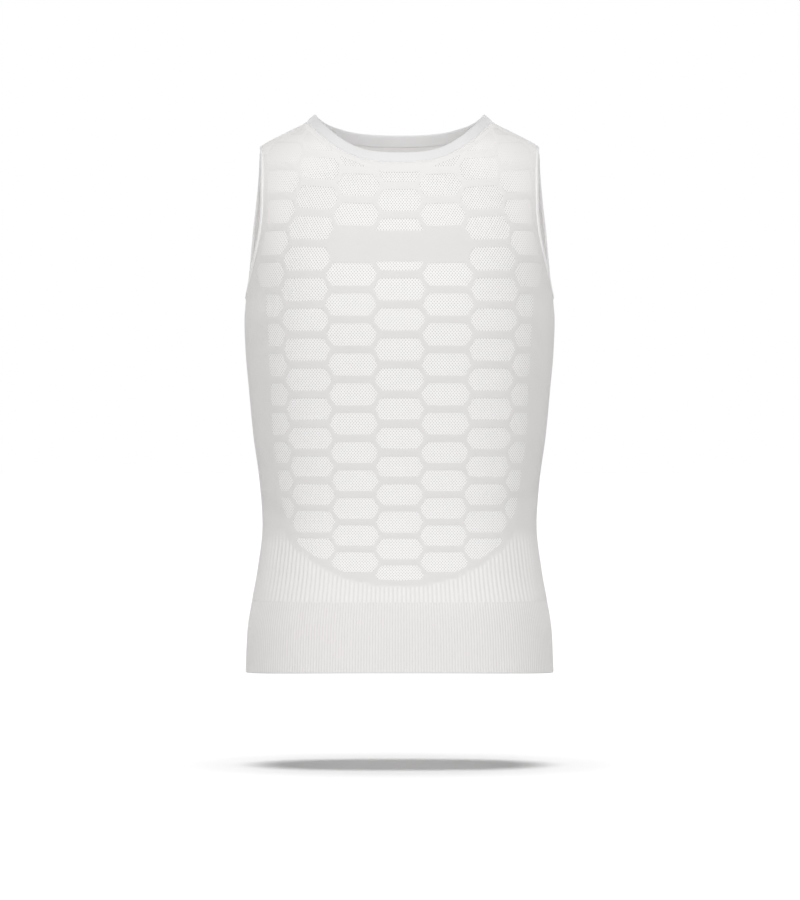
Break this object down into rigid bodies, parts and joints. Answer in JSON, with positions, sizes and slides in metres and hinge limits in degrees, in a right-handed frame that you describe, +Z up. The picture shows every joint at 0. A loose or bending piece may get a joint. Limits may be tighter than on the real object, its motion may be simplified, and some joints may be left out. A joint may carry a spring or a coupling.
{
  "type": "sleeveless base layer",
  "caption": "Sleeveless sports base layer: a seamless round-necked knit body with a honeycomb of open mesh cells, a ribbed hem band and narrow armhole edges.",
  "frame": {"origin": "on the centre plane between the neck ends of the two shoulder seams, where the wearer's shoulders hold it", "axes": "+Z up to the neck, +X towards the wearer's left, -Y the front"},
  "size_m": [0.3564, 0.2299, 0.6404],
  "materials": {
    "knit": "fine white seamless knit, plain and openwork",
    "rib": "fine white ribbed knit",
    "trim": "smooth white doubled knit edge"
  },
  "bodies": {
    "root": {"front_body": "knit", "back_body": "knit", "hem_band": "rib", "neckband": "trim", "armhole_edge_left": "trim", "armhole_edge_right": "trim"}
  },
  "joints": []
}
